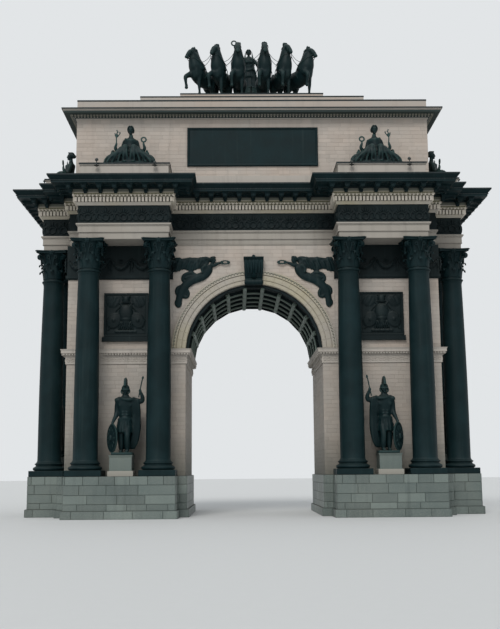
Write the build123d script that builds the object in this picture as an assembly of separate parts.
from build123d import *
from math import asin, cos, degrees, pi, radians, sin, sqrt
import os

# Triumphal arch at its real size, in millimetres. X runs along the front, Y runs
# through the passage with the front at minus Y, and Z is up from the ground.
# Left and right are a viewer's, standing in front.

os.makedirs("parts", exist_ok=True)

# Columns: two pairs on the front, two on the back and one pair on each end
PAIR_X = (4864, 8499)
PAIR_Y = 4618
END_X = 10819
END_Y = 1817
COLUMN_HEIGHT = 12000
COLUMN_SIDES = 12
SLAB_HALF = 900
SLAB_HEIGHT = 300
BASE_HEIGHT = 720
FOOT_RADIUS = 620
NECK_RADIUS = 530
CAPITAL_HEIGHT = 1540
ASTRAGAL_HEIGHT = 140
ABACUS_HEIGHT = 150
ABACUS_HALF = 900
CAPITAL_LEAVES = 8
LEAF_PROFILE = ((0, 0, 0), (0.26, 210, 60), (0.3, 20, 60), (0.54, 70, 260), (0.6, 70, 70), (1, 150, 150))

# Walls
PASSAGE_HALF = 3572
WALL_X = 9737
WALL_Y = 3453
UPPER_WALL_IN = PASSAGE_HALF + 671

# Plinth
PLINTH_TOP = 2060
PLINTH_MARGIN = 920
PLINTH_WALL_OUT = 300
PLINTH_PASSAGE_OUT = 100
FOOT_COURSE_HEIGHT = 390
FOOT_COURSE_OUT = 100

# Impost band round each pylon, with the plain frieze below it
IMPOST_TOP = 8560
IMPOST_HEIGHT = 350
IMPOST_OUT = 300
IMPOST_FRIEZE_HEIGHT = 410
IMPOST_FRIEZE_OUT = 60

# Arch
SPRING_Z = IMPOST_TOP - 160
ARCHIVOLT_RADIUS = PASSAGE_HALF + 728
ARCH_SIDES = 18
ARCHIVOLT_OUT = 160
ARCHIVOLT_EDGE = 170
ARCHIVOLT_SUNK = 50
LINING_THICKNESS = 212
COFFER_DEPTH = 140
COFFER_BAYS = 9
COFFER_ROWS = 4
COFFER_RIB = 130
LONG_RIB_WIDTH = 220
LONG_RIB_DEPTH = 90

# Keystone
KEYSTONE_FOOT = SPRING_Z + PASSAGE_HALF - 72
KEYSTONE_PROFILE = (
    (0, 410, 240),
    (500, 440, 310),
    (1000, 480, 400),
    (1380, 540, 460),
    (1400, 590, 550),
    (1470, 590, 550),
)
KEYSTONE_ROLL = 200

# Entablature over columns and wall
ENTABLATURE_MARGIN = 530
SPLIT_X = 2900
ARCHITRAVE_HEIGHT = 810
FRIEZE_HEIGHT = 940
ARCHITRAVE_PROFILE = ((-50, 0), (-50, 350), (0, 350), (0, 670), (90, 740), (90, 810))
BED_PROFILE = ((60, 0), (120, 140), (120, 420), (260, 570), (260, 890))
CORNICE_PROFILE = ((1200, 0), (1200, 160), (1380, 340), (1380, 400))

# Attic
ATTIC_X = 9460
ATTIC_BASE_HEIGHT = 660
ATTIC_BASE_OUT = 450
ATTIC_HEIGHT = 3950
ATTIC_CORNICE_PROFILE = (
    (60, 0),
    (60, 60),
    (250, 130),
    (250, 190),
    (620, 200),
    (620, 330),
    (720, 400),
    (720, 430),
)
BLOCKING_HEIGHT = 680
UPPER_BLOCKING_HEIGHT = 240
BLOCKING_HALF_X = 6070
BLOCKING_IN = 60
TEAM_PLINTH_HEIGHT = 570
TEAM_PLINTH_HALF = (3960, 2400)

# Inscription plates
PLATE_HALF_X = 3420
PLATE_FOOT = 1410
PLATE_HEIGHT = 1960
PLATE_FRAME = 90
PLATE_OUT = 60
PLATE_FRAME_OUT = 110

# Relief panels between the columns, and the relief band behind the capitals
PANEL_HALF = 1150
PANEL_FOOT_GAP = 400
PANEL_TOP_GAP = 740
PANEL_OUT = 110
SILL_HEIGHT = 250
SILL_OUT = 160
BAND_HEIGHT = 1810
BAND_MOULDING_HEIGHT = 210
BAND_OUT = 70
BAND_MOULDING_OUT = 130

# Pedestals of the figures
GROUP_PEDESTAL_HEIGHT = 1000
WARRIOR_PEDESTAL_HALF = 550
WARRIOR_PEDESTAL_HEIGHT = 1040
WARRIOR_FOOT_HEIGHT = 250
WARRIOR_FOOT_OUT = 80

# Figures
WARRIOR_HEIGHT = 3920
GROUP_HEIGHT = 2290
GROUP_SHIFT = 210
HORSE_HEIGHT = 3400
CHARIOT_HEIGHT = 1600
CHARIOT_FLOOR = 800
DRIVER_HEIGHT = 3560

COLUMN_TOP = PLINTH_TOP + COLUMN_HEIGHT
CAPITAL_FOOT = COLUMN_TOP - CAPITAL_HEIGHT
FRIEZE_FOOT = COLUMN_TOP + ARCHITRAVE_HEIGHT
CORNICE_FOOT = FRIEZE_FOOT + FRIEZE_HEIGHT
CORONA_FOOT = CORNICE_FOOT + BED_PROFILE[-1][1]
CORNICE_TOP = CORONA_FOOT + CORNICE_PROFILE[-1][1]
ATTIC_TOP = CORNICE_TOP + ATTIC_HEIGHT
BLOCKING_TOP = ATTIC_TOP + ATTIC_CORNICE_PROFILE[-1][1] + BLOCKING_HEIGHT
UPPER_BLOCKING_TOP = BLOCKING_TOP + UPPER_BLOCKING_HEIGHT
TEAM_PLINTH_TOP = UPPER_BLOCKING_TOP + TEAM_PLINTH_HEIGHT
GROUP_PEDESTAL_TOP = CORNICE_TOP + GROUP_PEDESTAL_HEIGHT
BAND_FOOT = COLUMN_TOP - BAND_HEIGHT
PAIR_CENTRE_X = sum(PAIR_X) / 2
SIDES = (-1, 1)


def block(low, high):
    """A box between its lowest and its highest corner."""
    size = [b - a for a, b in zip(low, high)]
    middle = [(a + b) / 2 for a, b in zip(low, high)]
    return Pos(*middle) * Box(*size)


def polygon_face(points):
    return Face(Wire.make_polygon(points, close=True))


def skin(rings):
    """A solid with flat faces through rings of points, all with the same number of points."""
    faces = [polygon_face(rings[0]), polygon_face(rings[-1])]
    for low, high in zip(rings, rings[1:]):
        faces += [polygon_face((low[i - 1], low[i], high[i], high[i - 1])) for i in range(len(low))]
    return Solid(Shell(faces))


def at_height(points, z):
    return [(x, y, z) for x, y in points]


def stack(outline, profile, foot):
    """Straight mouldings: profile holds (outward, height above foot) pairs, from the bottom up."""
    return skin([at_height(outline(out), foot + height) for out, height in profile])


def upright_prism(points, y_low, y_high):
    """A shape drawn on the front, given as (x, z) pairs, and as deep as it says."""
    return Solid.extrude(polygon_face([(x, y_low, z) for x, z in points]), Vector(0, y_high - y_low, 0))


def rectangle(half_x, half_y, centre=(0, 0)):
    """An outline function of a rectangle, for stack."""
    def outline(out):
        x, y = half_x + out, half_y + out
        return [(centre[0] + a * x, centre[1] + b * y) for a, b in ((-1, -1), (1, -1), (1, 1), (-1, 1))]
    return outline


def sized(shape, height):
    """A figure drawn at its usual size, made as tall as its named height."""
    return scale(shape, by=height / shape.bounding_box().max.Z)


def save(name, *shapes):
    """Write one node; shapes that don't touch stay separate solids."""
    solids = [solid for shape in shapes for solid in shape.solids()]
    node = solids[0] if len(solids) == 1 else Compound(children=solids)
    node.label = name
    export_step(node, f"parts/{name}.step")


def mirrored_x(shape):
    return mirror(shape, about=Plane.YZ)


def mirrored_y(shape):
    return mirror(shape, about=Plane.XZ)


def projections(wall_x, wall_y, margin, out):
    """One front corner of the plan: the front projection, the wall's corner and half of the end one."""
    return [
        (PAIR_X[0] - margin - out, -(wall_y + out)),
        (PAIR_X[0] - margin - out, -(PAIR_Y + margin + out)),
        (PAIR_X[1] + margin + out, -(PAIR_Y + margin + out)),
        (PAIR_X[1] + margin + out, -(wall_y + out)),
        (wall_x + out, -(wall_y + out)),
        (wall_x + out, -(END_Y + margin + out)),
        (END_X + margin + out, -(END_Y + margin + out)),
    ]


def plinth(side):
    """The granite foot of one side, under its wall and its columns."""
    def outline(out):
        front = [(PASSAGE_HALF - PLINTH_PASSAGE_OUT - out, -(WALL_Y + PLINTH_WALL_OUT + out))]
        front += projections(WALL_X + PLINTH_WALL_OUT, WALL_Y + PLINTH_WALL_OUT, PLINTH_MARGIN, out)
        return [(side * x, y) for x, y in front] + [(side * x, -y) for x, y in reversed(front)]
    profile = (
        (FOOT_COURSE_OUT, 0),
        (FOOT_COURSE_OUT, FOOT_COURSE_HEIGHT),
        (0, FOOT_COURSE_HEIGHT + 30),
        (0, PLINTH_TOP),
    )
    return stack(outline, profile, 0)


def entablature(profile, foot):
    """One layer of the entablature, cut into its left, centre and right pieces."""
    def outline(out):
        front = projections(WALL_X, WALL_Y, ENTABLATURE_MARGIN, out)
        right = front + [(x, -y) for x, y in reversed(front)]
        return right + [(-x, -y) for x, y in right]
    whole = Part() + stack(outline, profile, foot)
    reach, top = 2 * END_X, foot + profile[-1][1]
    ends = (-reach, -SPLIT_X, SPLIT_X, reach)
    pieces = {}
    for name, low, high in zip(("left", "centre", "right"), ends, ends[1:]):
        pieces[name] = whole & block((low, -reach, foot), (high, reach, top))
    return pieces


def pylon(side):
    """The wall beside the passage, notched at the top for the wall over the arch."""
    points = [
        (PASSAGE_HALF, PLINTH_TOP),
        (WALL_X, PLINTH_TOP),
        (WALL_X, COLUMN_TOP),
        (UPPER_WALL_IN, COLUMN_TOP),
        (UPPER_WALL_IN, IMPOST_TOP),
        (PASSAGE_HALF, IMPOST_TOP),
    ]
    return upright_prism([(side * x, z) for x, z in points], -WALL_Y, WALL_Y)


def arch_prism(radius, reach):
    """The space under the round arch, in flat facets, from the impost up."""
    start = impost_angle(radius)
    return upright_prism(arc_points(radius, ARCH_SIDES, start, pi - start), -reach, reach)


def arch_wall():
    """The wall over the passage, with the round arch cut through it."""
    wall = block((-UPPER_WALL_IN, -WALL_Y, IMPOST_TOP), (UPPER_WALL_IN, WALL_Y, COLUMN_TOP))
    return wall - arch_prism(PASSAGE_HALF, 2 * WALL_Y)


def impost(side):
    """The cornice and plain frieze that wrap a pylon at the spring of the arch."""
    centre = (side * (PASSAGE_HALF + WALL_X) / 2, 0)
    outline = rectangle((WALL_X - PASSAGE_HALF) / 2, WALL_Y, centre)
    frieze_out = IMPOST_FRIEZE_OUT
    profile = (
        (frieze_out, 0),
        (frieze_out, IMPOST_FRIEZE_HEIGHT),
        (frieze_out + 60, IMPOST_FRIEZE_HEIGHT + 90),
        (IMPOST_OUT - 40, IMPOST_FRIEZE_HEIGHT + 140),
        (IMPOST_OUT - 40, IMPOST_FRIEZE_HEIGHT + 260),
        (IMPOST_OUT, IMPOST_FRIEZE_HEIGHT + IMPOST_HEIGHT),
    )
    foot = IMPOST_TOP - IMPOST_HEIGHT - IMPOST_FRIEZE_HEIGHT
    band = stack(outline, profile, foot)
    core = stack(outline, ((0, -10), (0, IMPOST_FRIEZE_HEIGHT + IMPOST_HEIGHT + 10)), foot)
    return Part() + band - core


def arc_points(radius, count, start=0.0, end=pi):
    """Points (x, z) along the arch, from right to left."""
    angles = [start + (end - start) * i / count for i in range(count + 1)]
    return [(radius * cos(a), SPRING_Z + radius * sin(a)) for a in angles]


def impost_angle(radius):
    """Where a circle round the arch's centre meets the top of the impost."""
    return asin((IMPOST_TOP - SPRING_Z) / radius)


def vault_lining():
    """The coffered lining under the arch: sunk panels between arc bars, and wide ribs along the passage."""
    inner_radius = PASSAGE_HALF - LINING_THICKNESS
    start = impost_angle(inner_radius)
    inside = upright_prism(arc_points(inner_radius, COFFER_BAYS, start, pi - start), -2 * WALL_Y, 2 * WALL_Y)
    ring = arch_prism(PASSAGE_HALF, WALL_Y) - inside
    bay = (pi - 2 * start) / COFFER_BAYS
    row = (2 * WALL_Y - COFFER_RIB) / COFFER_ROWS
    flat_radius = inner_radius * cos(bay / 2)
    coffer = Box(2 * COFFER_DEPTH, row - COFFER_RIB, 2 * inner_radius * sin(bay / 2) - LONG_RIB_WIDTH)
    rib = Box(LONG_RIB_DEPTH + COFFER_DEPTH, 2 * WALL_Y, LONG_RIB_WIDTH)
    cuts, ribs = [], []
    for i in range(COFFER_BAYS):
        turn = Pos(0, 0, SPRING_Z) * Rot(0, -degrees(start + (i + 0.5) * bay), 0)
        for j in range(COFFER_ROWS):
            y = (j - (COFFER_ROWS - 1) / 2) * row
            cuts.append(turn * Pos(flat_radius, y, 0) * coffer)
    for i in range(1, COFFER_BAYS):
        turn = Pos(0, 0, SPRING_Z) * Rot(0, -degrees(start + i * bay), 0)
        ribs.append(turn * Pos(inner_radius + (COFFER_DEPTH - LONG_RIB_DEPTH) / 2, 0, 0) * rib)
    return ring - cuts + ribs


def archivolt(face):
    """The moulded band round the arch on one face of the wall: a flat band and its raised edge."""
    arcs = []
    for radius in (PASSAGE_HALF, ARCHIVOLT_RADIUS - ARCHIVOLT_EDGE, ARCHIVOLT_RADIUS):
        start = impost_angle(radius)
        arcs.append(arc_points(radius, ARCH_SIDES, start, pi - start))
    wall = face * WALL_Y
    ring = Part()
    for inside, outside, out in zip(arcs, arcs[1:], (ARCHIVOLT_OUT - ARCHIVOLT_SUNK, ARCHIVOLT_OUT)):
        far = wall + face * out
        ring += upright_prism(outside + inside[::-1], min(wall, far), max(wall, far))
    return ring


def keystone(face):
    """The scrolled keystone: it leans out towards its top, under a cap, and rolls up at its foot."""
    near = face * WALL_Y
    rings = []
    for height, half, out in KEYSTONE_PROFILE:
        far = face * (WALL_Y + out)
        corners = ((-half, near), (half, near), (half, far), (-half, far))
        rings.append(at_height(corners, KEYSTONE_FOOT + height))
    half = KEYSTONE_PROFILE[0][1]
    centre = face * (WALL_Y + KEYSTONE_ROLL)
    roll = [(centre + a, KEYSTONE_FOOT + b) for a, b in ring_points(KEYSTONE_ROLL, 8)]
    ends = [[(x, y, z) for y, z in roll] for x in (-half - 20, half + 20)]
    return Part() + skin(rings) + skin(ends) - archivolt(face)


def ring_points(radius, sides, depth=1.0, start=0.5):
    """Plan points of a flat-sided round or oval."""
    turns = [2 * pi * (i + start) / sides for i in range(sides)]
    return [(radius * cos(a), depth * radius * sin(a)) for a in turns]


def round_stack(profile, foot):
    """A turned form with flat facets: profile holds (radius, height above foot) pairs."""
    return skin([at_height(ring_points(radius, COLUMN_SIDES), foot + height) for radius, height in profile])


def column():
    """Base slab, rounded base mouldings and a swelling shaft, up to the capital's foot."""
    slab = stack(rectangle(SLAB_HALF, SLAB_HALF), ((0, 0), (0, SLAB_HEIGHT)), PLINTH_TOP)
    shaft_height = CAPITAL_FOOT - PLINTH_TOP
    foot, neck = FOOT_RADIUS, NECK_RADIUS
    profile = (
        (foot + 210, SLAB_HEIGHT),
        (foot + 210, SLAB_HEIGHT + 140),
        (foot + 120, SLAB_HEIGHT + 270),
        (foot, BASE_HEIGHT + 60),
        (foot, shaft_height * 0.38),
        (neck, shaft_height - ASTRAGAL_HEIGHT),
        (neck + 70, shaft_height - ASTRAGAL_HEIGHT / 2),
        (neck, shaft_height),
    )
    return Part() + slab + round_stack(profile, PLINTH_TOP)


def leafy_bell():
    """The bell with two rings of leaves, whose tips stand over one another's hollows."""
    neck, height = NECK_RADIUS, CAPITAL_HEIGHT - ABACUS_HEIGHT
    rings = []
    for share, tip, hollow in LEAF_PROFILE:
        ring = []
        for i in range(CAPITAL_LEAVES):
            for turn, out in ((i, tip), (i + 0.5, hollow)):
                a = 2 * pi * turn / CAPITAL_LEAVES
                ring.append(((neck + out) * cos(a), (neck + out) * sin(a), CAPITAL_FOOT + share * height))
        rings.append(ring)
    faces = [polygon_face(rings[0]), polygon_face(rings[-1])]
    for low, high in zip(rings, rings[1:]):
        for i in range(0, len(low), 2):
            for j in (i - 1, i + 1):
                faces.append(polygon_face((low[i], low[j], high[j])))
                faces.append(polygon_face((low[i], high[j], high[i])))
    return Solid(Shell(faces))


def volute(turn):
    """A corner scroll under the abacus."""
    bell_top = COLUMN_TOP - ABACUS_HEIGHT
    eye_x, eye_z, radius = ABACUS_HALF + 60, bell_top - 220, 210
    angles = [radians(90 - 100 * i) for i in range(3)]
    curl = [(eye_x + radius * cos(a), eye_z + radius * sin(a)) for a in angles]
    stem = [(NECK_RADIUS, bell_top - 560), (NECK_RADIUS, bell_top)]
    return Rot(0, 0, turn) * upright_prism(curl + stem, -90, 90)


def capital():
    """Leafy capital: leafy bell, four corner scrolls and a hollowed abacus."""
    bell_top = COLUMN_TOP - ABACUS_HEIGHT
    body = Part() + leafy_bell()
    for i in range(4):
        body += volute(45 + 90 * i)
    corner, tip = ABACUS_HALF, ABACUS_HALF - 110
    hollow = ABACUS_HALF - 130
    points = []
    for i in range(4):
        a, b = cos(pi / 2 * i), sin(pi / 2 * i)
        quarter = [(corner, -tip), (hollow, 0), (corner, tip)]
        points += [(x * a - y * b, x * b + y * a) for x, y in quarter]
    return body + skin([at_height(points, bell_top), at_height(points, COLUMN_TOP)])


def inscription_plate(face):
    """A bare plate in its frame on the attic."""
    low, high = CORNICE_TOP + PLATE_FOOT, CORNICE_TOP + PLATE_FOOT + PLATE_HEIGHT
    wall = face * WALL_Y
    frame_far, plate_far = wall + face * PLATE_FRAME_OUT, wall + face * PLATE_OUT
    reach = PLATE_HALF_X + PLATE_FRAME
    frame = block(
        (-reach, min(wall, frame_far), low - PLATE_FRAME),
        (reach, max(wall, frame_far), high + PLATE_FRAME),
    )
    sunk = block(
        (-PLATE_HALF_X, min(plate_far, 2 * frame_far), low),
        (PLATE_HALF_X, max(plate_far, 2 * frame_far), high),
    )
    return frame - sunk


def attic_base(face):
    """The low course between the two group pedestals of one face."""
    near, far = face * WALL_Y, face * (WALL_Y + ATTIC_BASE_OUT)
    half, top = PAIR_X[0] - ENTABLATURE_MARGIN, CORNICE_TOP + ATTIC_BASE_HEIGHT
    return block((-half, min(near, far), CORNICE_TOP), (half, max(near, far), top))


def group_pedestal(place):
    """The pedestal on a projection: place gives its lowest and highest plan corners."""
    (x0, y0), (x1, y1) = place
    half = ((x1 - x0) / 2, (y1 - y0) / 2)
    height = GROUP_PEDESTAL_HEIGHT
    profile = ((0, 0), (-70, 160), (-70, height - 160), (0, height - 90), (0, height))
    outline = rectangle(half[0], half[1], ((x0 + x1) / 2, (y0 + y1) / 2))
    return stack(outline, profile, CORNICE_TOP)


def group_places():
    """Plan corners of the six group pedestals: front, back and ends."""
    far = PAIR_Y + ENTABLATURE_MARGIN
    inner, outer = PAIR_X[0] - ENTABLATURE_MARGIN, PAIR_X[1] + ENTABLATURE_MARGIN
    end_x, end_y = END_X + ENTABLATURE_MARGIN, END_Y + ENTABLATURE_MARGIN
    front = [((-outer, -far), (-inner, -WALL_Y)), ((inner, -far), (outer, -WALL_Y))]
    back = [((-outer, WALL_Y), (-inner, far)), ((inner, WALL_Y), (outer, far))]
    ends = [((-end_x, -end_y), (-ATTIC_X, end_y)), ((ATTIC_X, -end_y), (end_x, end_y))]
    return front + back + ends


def around():
    """Plan point and turn about Z of each pair of columns: front, back and ends."""
    front = [(PAIR_CENTRE_X * a, -PAIR_Y, 0) for a in SIDES]
    back = [(PAIR_CENTRE_X * a, PAIR_Y, 180) for a in SIDES]
    return front + back + [(-END_X, 0, -90), (END_X, 0, 90)]


def warrior_pedestal():
    half = WARRIOR_PEDESTAL_HALF
    profile = (
        (WARRIOR_FOOT_OUT, 0),
        (WARRIOR_FOOT_OUT, WARRIOR_FOOT_HEIGHT),
        (0, WARRIOR_FOOT_HEIGHT + 30),
        (0, WARRIOR_PEDESTAL_HEIGHT - 130),
        (50, WARRIOR_PEDESTAL_HEIGHT),
    )
    return stack(rectangle(half, half), profile, PLINTH_TOP)


def relief_panel():
    """A relief panel with its sill, drawn on the front wall at X 0."""
    wall = -WALL_Y
    low, high = IMPOST_TOP + PANEL_FOOT_GAP + SILL_HEIGHT, BAND_FOOT - PANEL_TOP_GAP
    panel = block((-PANEL_HALF, wall - PANEL_OUT, low), (PANEL_HALF, wall, high))
    sill = block((-PANEL_HALF - 80, wall - SILL_OUT, low - SILL_HEIGHT), (PANEL_HALF + 80, wall, low))
    return Part() + panel + sill


def relief_band(side):
    """The relief band that wraps a pylon behind the capitals, on its moulding."""
    middle, half = (UPPER_WALL_IN + WALL_X) / 2, (WALL_X - UPPER_WALL_IN) / 2
    outline = rectangle(half, WALL_Y, (side * middle, 0))
    profile = (
        (BAND_MOULDING_OUT - 50, 0),
        (BAND_MOULDING_OUT, 80),
        (BAND_MOULDING_OUT, BAND_MOULDING_HEIGHT),
        (BAND_OUT, BAND_MOULDING_HEIGHT),
        (BAND_OUT, COLUMN_TOP - BAND_FOOT),
    )
    inner = block((-UPPER_WALL_IN, -2 * WALL_Y, 0), (UPPER_WALL_IN, 2 * WALL_Y, COLUMN_TOP))
    return Part() + stack(outline, profile, BAND_FOOT) - pylon(side) - inner


def same_area(radius, sides):
    """Corner radius of a flat-sided form with the area of a round one."""
    return radius * sqrt(2 * pi / (sides * sin(2 * pi / sides)))


def oval_stack(sections, depth=1.0, sides=6):
    """A standing form: sections are (height, x, y, half width), from the bottom up."""
    rings = []
    for height, x, y, half in sections:
        rings.append([(x + a, y + b, height) for a, b in ring_points(same_area(half, sides), sides, depth)])
    return skin(rings)


def limb(start, end, start_radius, end_radius, sides=4):
    """A tapered bar from one point to another."""
    along = Vector(*end) - Vector(*start)
    foot = Plane(origin=start, z_dir=along)
    rings = []
    for plane, radius in ((foot, start_radius), (foot.offset(along.length), end_radius)):
        corners = ring_points(same_area(radius, sides), sides)
        rings.append([plane.from_local_coords((a, b, 0)) for a, b in corners])
    return skin(rings)


def warrior():
    """A standing guard facing minus Y: one hand on an oval shield, a short staff in the raised other."""
    body = Part() + block((-480, -520, 0), (560, 520, 130))
    chest = ((1200, 80, 0, 370), (1850, 100, 0, 290), (2600, 120, 0, 430), (2880, 130, 10, 170))
    body += oval_stack(chest, 0.66)
    helmet = ((2800, 130, -20, 140), (3300, 130, -20, 205), (3690, 130, -20, 90))
    body += oval_stack(helmet, 1.1, 5)
    cloak = ((200, 330, 300, 430), (1500, 320, 260, 420), (2780, 200, 150, 400))
    body += oval_stack(cloak, 0.33, 4)
    body += limb((130, -20, 3480), (140, 40, 3880), 85, 70)
    body += limb((-30, -50, 100), (-20, 0, 1250), 140, 170)
    body += limb((250, -220, 100), (190, -60, 1250), 140, 170)
    body += limb((-230, 0, 2700), (-400, 20, 2150), 125, 100)
    body += limb((-400, 20, 2180), (-440, -210, 1450), 100, 80)
    body += limb((470, 0, 2700), (1010, -60, 2620), 130, 100)
    body += limb((1000, -60, 2600), (920, -180, 3260), 100, 80)
    body += limb((860, -190, 2950), (1060, -190, 3920), 30, 30)
    oval = [(0.63 * x, z) for x, z in ring_points(700, 8)]
    shield = Pos(-440, -230, 820) * Rot(0, 0, -58) * upright_prism(oval, -55, 55)
    return sized(body + shield, WARRIOR_HEIGHT)


def seat_mound(side):
    """The low heap of arms and drapery on one side of a seated figure."""
    return oval_stack(((0, 820 * side, -60, 600), (800, 660 * side, -20, 200)), 0.85)


def sculpture_group():
    """A seated draped figure between heaps of arms, with a branch and a wreath, facing minus Y."""
    group = Part() + seat_mound(-1) + seat_mound(1)
    dress = ((0, 0, -100, 540), (900, 10, 60, 320), (1520, 15, 100, 350), (1680, 15, 90, 110))
    group += oval_stack(dress, 0.8)
    group += oval_stack(((1600, 10, 60, 90), (1950, 10, 50, 160), (2290, 10, 60, 80)), 1.0, 5)
    group += oval_stack(((0, 0, -420, 420), (700, 0, -420, 340), (960, 0, -340, 300)), 0.85, 4)
    group += limb((-300, 60, 1480), (-480, 0, 950), 110, 90)
    group += limb((-480, 0, 980), (-640, -260, 1230), 90, 70)
    group += limb((-640, -250, 1000), (-650, -260, 1940), 35, 60)
    group += limb((300, 60, 1480), (500, 0, 950), 110, 90)
    group += limb((500, 0, 980), (720, -250, 1280), 90, 70)
    wreath = extrude(RegularPolygon(160, 6) - RegularPolygon(90, 6), 30, both=True)
    return sized(group + Pos(730, -260, 1430) * Rot(90, 0, 0) * wreath, GROUP_HEIGHT)


def spandrel_figure():
    """A flying victory in relief, drawn from the archivolt's edge half way up its left side."""
    wing = [(-1190, 1560), (-660, 1160), (-10, 1210), (140, 1410), (-260, 2010), (-860, 1910)]
    body = [(-960, 60), (-1010, -690), (-660, -740), (40, 660), (690, 1210), (1690, 1510)]
    body += [(1740, 1660), (790, 1610), (540, 1990), (240, 1960), (190, 1510), (-410, 1060)]
    figure = upright_prism(body, -WALL_Y - 140, -WALL_Y) + upright_prism(wing, -WALL_Y - 90, -WALL_Y)
    along = ARCHIVOLT_RADIUS * cos(pi / 4)
    return Pos(-along, 0, SPRING_Z + along) * figure


def horse(swing):
    """A stepping horse facing minus Y, with one foreleg lifted; swing turns its neck in degrees."""
    barrel = ((0, 230, 1560), (400, 330, 1530), (1550, 390, 1500), (1950, 250, 1560))
    barrel = [(along, 0, height, half) for along, half, height in barrel]
    body = Part() + Rot(90, 0, 0) * Pos(0, 0, -1050) * oval_stack(barrel, 1.3)
    neck = Part() + limb((0, -600, 1750), (0, -780, 2780), 390, 220)
    neck += limb((0, -740, 3050), (0, -1150, 2480), 210, 130)
    neck += limb((0, -700, 2950), (0, -680, 3400), 160, 50)
    body += Pos(0, -640, 0) * Rot(0, 0, swing) * Pos(0, 640, 0) * neck
    body += limb((190, -640, 1450), (190, -640, 0), 190, 95)
    body += limb((-200, -680, 1500), (-340, -1250, 1150), 190, 110)
    body += limb((-340, -1220, 1200), (-340, -1170, 480), 110, 90)
    for x in (-165, 165):
        body += limb((x, 850, 1500), (x, 950, 690), 205, 110)
        body += limb((x, 920, 750), (x, 920, 0), 110, 95)
    body += limb((0, 1000, 1750), (0, 1290, 600), 130, 80)
    return sized(body, HORSE_HEIGHT)


def nodes():
    """Build every node of the arch."""
    for side, name in ((-1, "left"), (1, "right")):
        save(f"{name}_plinth", plinth(side))
        save(f"{name}_pylon", pylon(side))
        save(f"{name}_impost", impost(side))
        save(f"{name}_relief_band", relief_band(side))
    save("arch_wall", arch_wall())
    save("vault_lining", vault_lining())
    layers = {
        "architrave": (ARCHITRAVE_PROFILE, COLUMN_TOP),
        "frieze": (((0, 0), (0, FRIEZE_HEIGHT)), FRIEZE_FOOT),
        "bed_moulding": (BED_PROFILE, CORNICE_FOOT),
        "cornice": (CORNICE_PROFILE, CORONA_FOOT),
    }
    for layer, (profile, foot) in layers.items():
        for name, piece in entablature(profile, foot).items():
            save(f"{name}_{layer}", piece)
    for face, name in ((-1, "front"), (1, "back")):
        save(f"{name}_archivolt", archivolt(face))
        save(f"{name}_keystone", keystone(face))
        save(f"{name}_plate", inscription_plate(face))
    save("attic_base", attic_base(-1), attic_base(1))
    attic = rectangle(ATTIC_X, WALL_Y)
    save("attic_wall", stack(attic, ((0, 0), (0, ATTIC_HEIGHT)), CORNICE_TOP))
    save("attic_cornice", stack(attic, ATTIC_CORNICE_PROFILE, ATTIC_TOP))
    blocking_foot = BLOCKING_TOP - BLOCKING_HEIGHT
    save("blocking_course", block((-ATTIC_X, -WALL_Y, blocking_foot), (ATTIC_X, WALL_Y, BLOCKING_TOP)))
    half_x, half_y = BLOCKING_HALF_X, WALL_Y - BLOCKING_IN
    save("upper_blocking", block((-half_x, -half_y, BLOCKING_TOP), (half_x, half_y, UPPER_BLOCKING_TOP)))
    half_x, half_y = TEAM_PLINTH_HALF
    save("team_plinth", block((-half_x, -half_y, UPPER_BLOCKING_TOP), (half_x, half_y, TEAM_PLINTH_TOP)))
    places = group_places()
    save("group_pedestals", *[group_pedestal(place) for place in places])
    columns()
    figures(places)
    team()


def columns():
    shaft, head = column(), capital()
    front = [(a * x, -PAIR_Y) for a in SIDES for x in PAIR_X]
    groups = {
        "front": front,
        "back": [(x, -y) for x, y in front],
        "left": [(-END_X, a * END_Y) for a in SIDES],
        "right": [(END_X, a * END_Y) for a in SIDES],
    }
    for name, axes in groups.items():
        save(f"{name}_columns", *[Pos(x, y, 0) * shaft for x, y in axes])
        save(f"{name}_capitals", *[Pos(x, y, 0) * head for x, y in axes])


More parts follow.
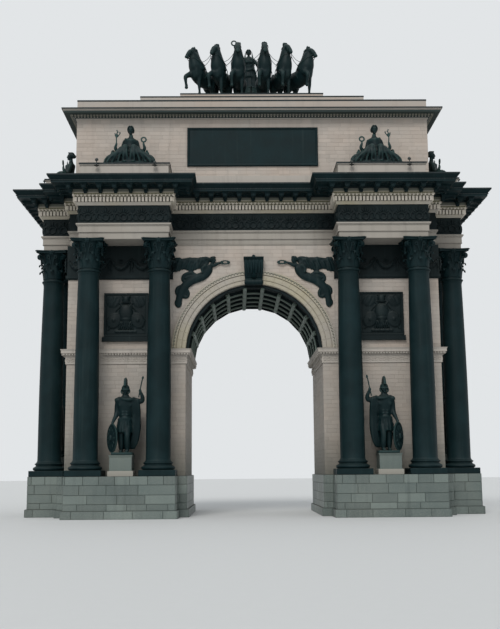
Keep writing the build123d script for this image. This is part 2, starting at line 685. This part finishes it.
def figures(places):
    guard, pedestal, group, panel = warrior(), warrior_pedestal(), sculpture_group(), relief_panel()
    foot = PLINTH_TOP + WARRIOR_PEDESTAL_HEIGHT
    spots = around()
    save("warrior_pedestals", *[Pos(x, y, 0) * pedestal for x, y, turn in spots])
    for name, chosen in (("front", (0, 1)), ("back", (2, 3)), ("side", (4, 5))):
        guards, groups = [], []
        for i in chosen:
            x, y, turn = spots[i]
            drawn = i in (0, 3, 4)
            guards.append(Pos(x, y, foot) * Rot(0, 0, turn) * (guard if drawn else mirrored_x(guard)))
            (x0, y0), (x1, y1) = places[i]
            shift = 0 if i > 3 else GROUP_SHIFT if drawn else -GROUP_SHIFT
            place = Pos((x0 + x1) / 2, (y0 + y1) / 2, GROUP_PEDESTAL_TOP) * Rot(0, 0, turn) * Pos(shift, 0, 0)
            groups.append(place * (group if drawn else mirrored_x(group)))
        save(f"{name}_warriors", *guards)
        save(f"{name}_groups", *groups)
    panels = []
    for i, (x, y, turn) in enumerate(spots):
        if i < 4:
            panels.append(Pos(x, 0, 0) * Rot(0, 0, turn) * panel)
        else:
            side = -1 if x < 0 else 1
            panels.append(Pos(side * (WALL_X - WALL_Y), 0, 0) * Rot(0, 0, turn) * panel)
    save("relief_panels", *panels)
    left = spandrel_figure()
    pair = [left, mirrored_x(left)]
    save("front_victories", *pair)
    save("back_victories", *[mirrored_y(shape) for shape in pair])


# Horses from left to right: place along the front, turn and swing of the neck
TEAM = (
    (-2750, -33, -14),
    (-1690, -18, -12),
    (-710, -3, 0),
    (710, 3, 0),
    (1690, 18, 12),
    (2750, 33, 14),
)
TEAM_Y = -1150


def team():
    """Six horses fanned out, and the winged driver in the chariot behind them."""
    runners = []
    for x, turn, swing in TEAM:
        runners.append(Pos(x, TEAM_Y, TEAM_PLINTH_TOP) * Rot(0, 0, turn) * horse(swing))
    save("horses", *runners)
    floor = CHARIOT_FLOOR
    chariot = Part() + block((-620, 560, floor - 100), (620, 1760, floor))
    chariot += block((-620, 560, floor - 100), (620, 660, 1600))
    for x in (-620, 540):
        chariot += block((x, 560, floor - 100), (x + 80, 1650, floor + 550))
    chariot += block((-640, 1100, floor - 220), (640, 1240, floor - 80))
    for x in (-680, 680):
        wheel = extrude(RegularPolygon(660, 12), 50, both=True)
        chariot += Pos(x, 1170, 660 * cos(pi / 12)) * Rot(0, 90, 0) * Rot(0, 0, 15) * wheel
    save("chariot", Pos(0, 0, TEAM_PLINTH_TOP) * sized(chariot, CHARIOT_HEIGHT))
    robe = ((0, -50, 1170, 360), (1600, -60, 1060, 250), (2620, -100, 1000, 350), (2820, -110, 1000, 120))
    driver = Part() + oval_stack(robe, 0.7)
    driver += oval_stack(((2750, -110, 990, 95), (3040, -110, 980, 170), (3260, -110, 980, 85)), 1.1)
    driver += limb((-340, 1000, 2650), (-780, 900, 3000), 100, 80)
    driver += limb((-780, 900, 2960), (-960, 860, 3560), 80, 60)
    driver += limb((140, 980, 2600), (430, 900, 2060), 100, 80)
    for side in SIDES:
        driver += limb((-100 + side * 160, 1240, 1800), (-110 + side * 290, 1280, 3320), 150, 50)
    save("driver", Pos(0, 0, TEAM_PLINTH_TOP + floor) * sized(driver, DRIVER_HEIGHT))


nodes()
